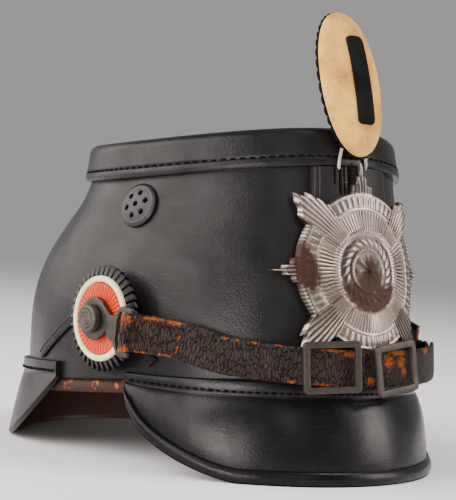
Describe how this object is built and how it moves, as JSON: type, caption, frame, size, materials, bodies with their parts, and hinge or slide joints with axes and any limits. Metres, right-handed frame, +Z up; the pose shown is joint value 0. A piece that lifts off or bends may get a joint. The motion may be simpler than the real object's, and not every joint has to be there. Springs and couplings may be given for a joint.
{
  "type": "leather shako hat",
  "caption": "Black leather military cap with peak, neck guard, star-shaped front plate, oval felt field badge, side cockades and a buckled chin strap across the front.",
  "frame": {"origin": "middle of the bounding box's underside, on the ground the hat stands on", "axes": "-Y towards the front of the hat, -X towards the wearer's right, +Z up at rest"},
  "size_m": [0.1998, 0.2348, 0.2153],
  "materials": {
    "black_leather": "satin, glossier on the peak",
    "worn_brown_leather": "worn, crackled, dull",
    "silvered_plate": "satin with brown tarnish",
    "dull_iron": "dull, worn edges",
    "cream_paint": "satin paint",
    "orange_paint": "satin paint, fluted",
    "black_rim": "pleated, matt",
    "tan_felt": "felt",
    "black_felt": "felt"
  },
  "bodies": {
    "root": {"body_shell": "black_leather", "top_lid": "black_leather", "front_peak": "black_leather", "neck_guard": "black_leather", "sweatband": "worn_brown_leather", "badge_pocket": "black_leather", "front_star": "silvered_plate", "side_welt_right": "black_leather", "cockade_rim_right": "black_rim", "cockade_ring_right": "cream_paint", "cockade_disc_right": "orange_paint", "side_post_right": "dull_iron", "strap_lug_right": "dull_iron", "vent_right": "black_leather", "buckle_right": "dull_iron", "badge_pin_right": "silvered_plate", "side_welt_left": "black_leather", "cockade_rim_left": "black_rim", "cockade_ring_left": "cream_paint", "cockade_disc_left": "orange_paint", "side_post_left": "dull_iron", "strap_lug_left": "dull_iron", "vent_left": "black_leather", "buckle_left": "dull_iron", "badge_pin_left": "silvered_plate", "chin_strap_right": "worn_brown_leather", "chin_strap_left": "worn_brown_leather", "field_badge": "tan_felt", "field_badge_back": "black_felt", "field_badge_bar": "black_felt"}
  },
  "joints": []
}
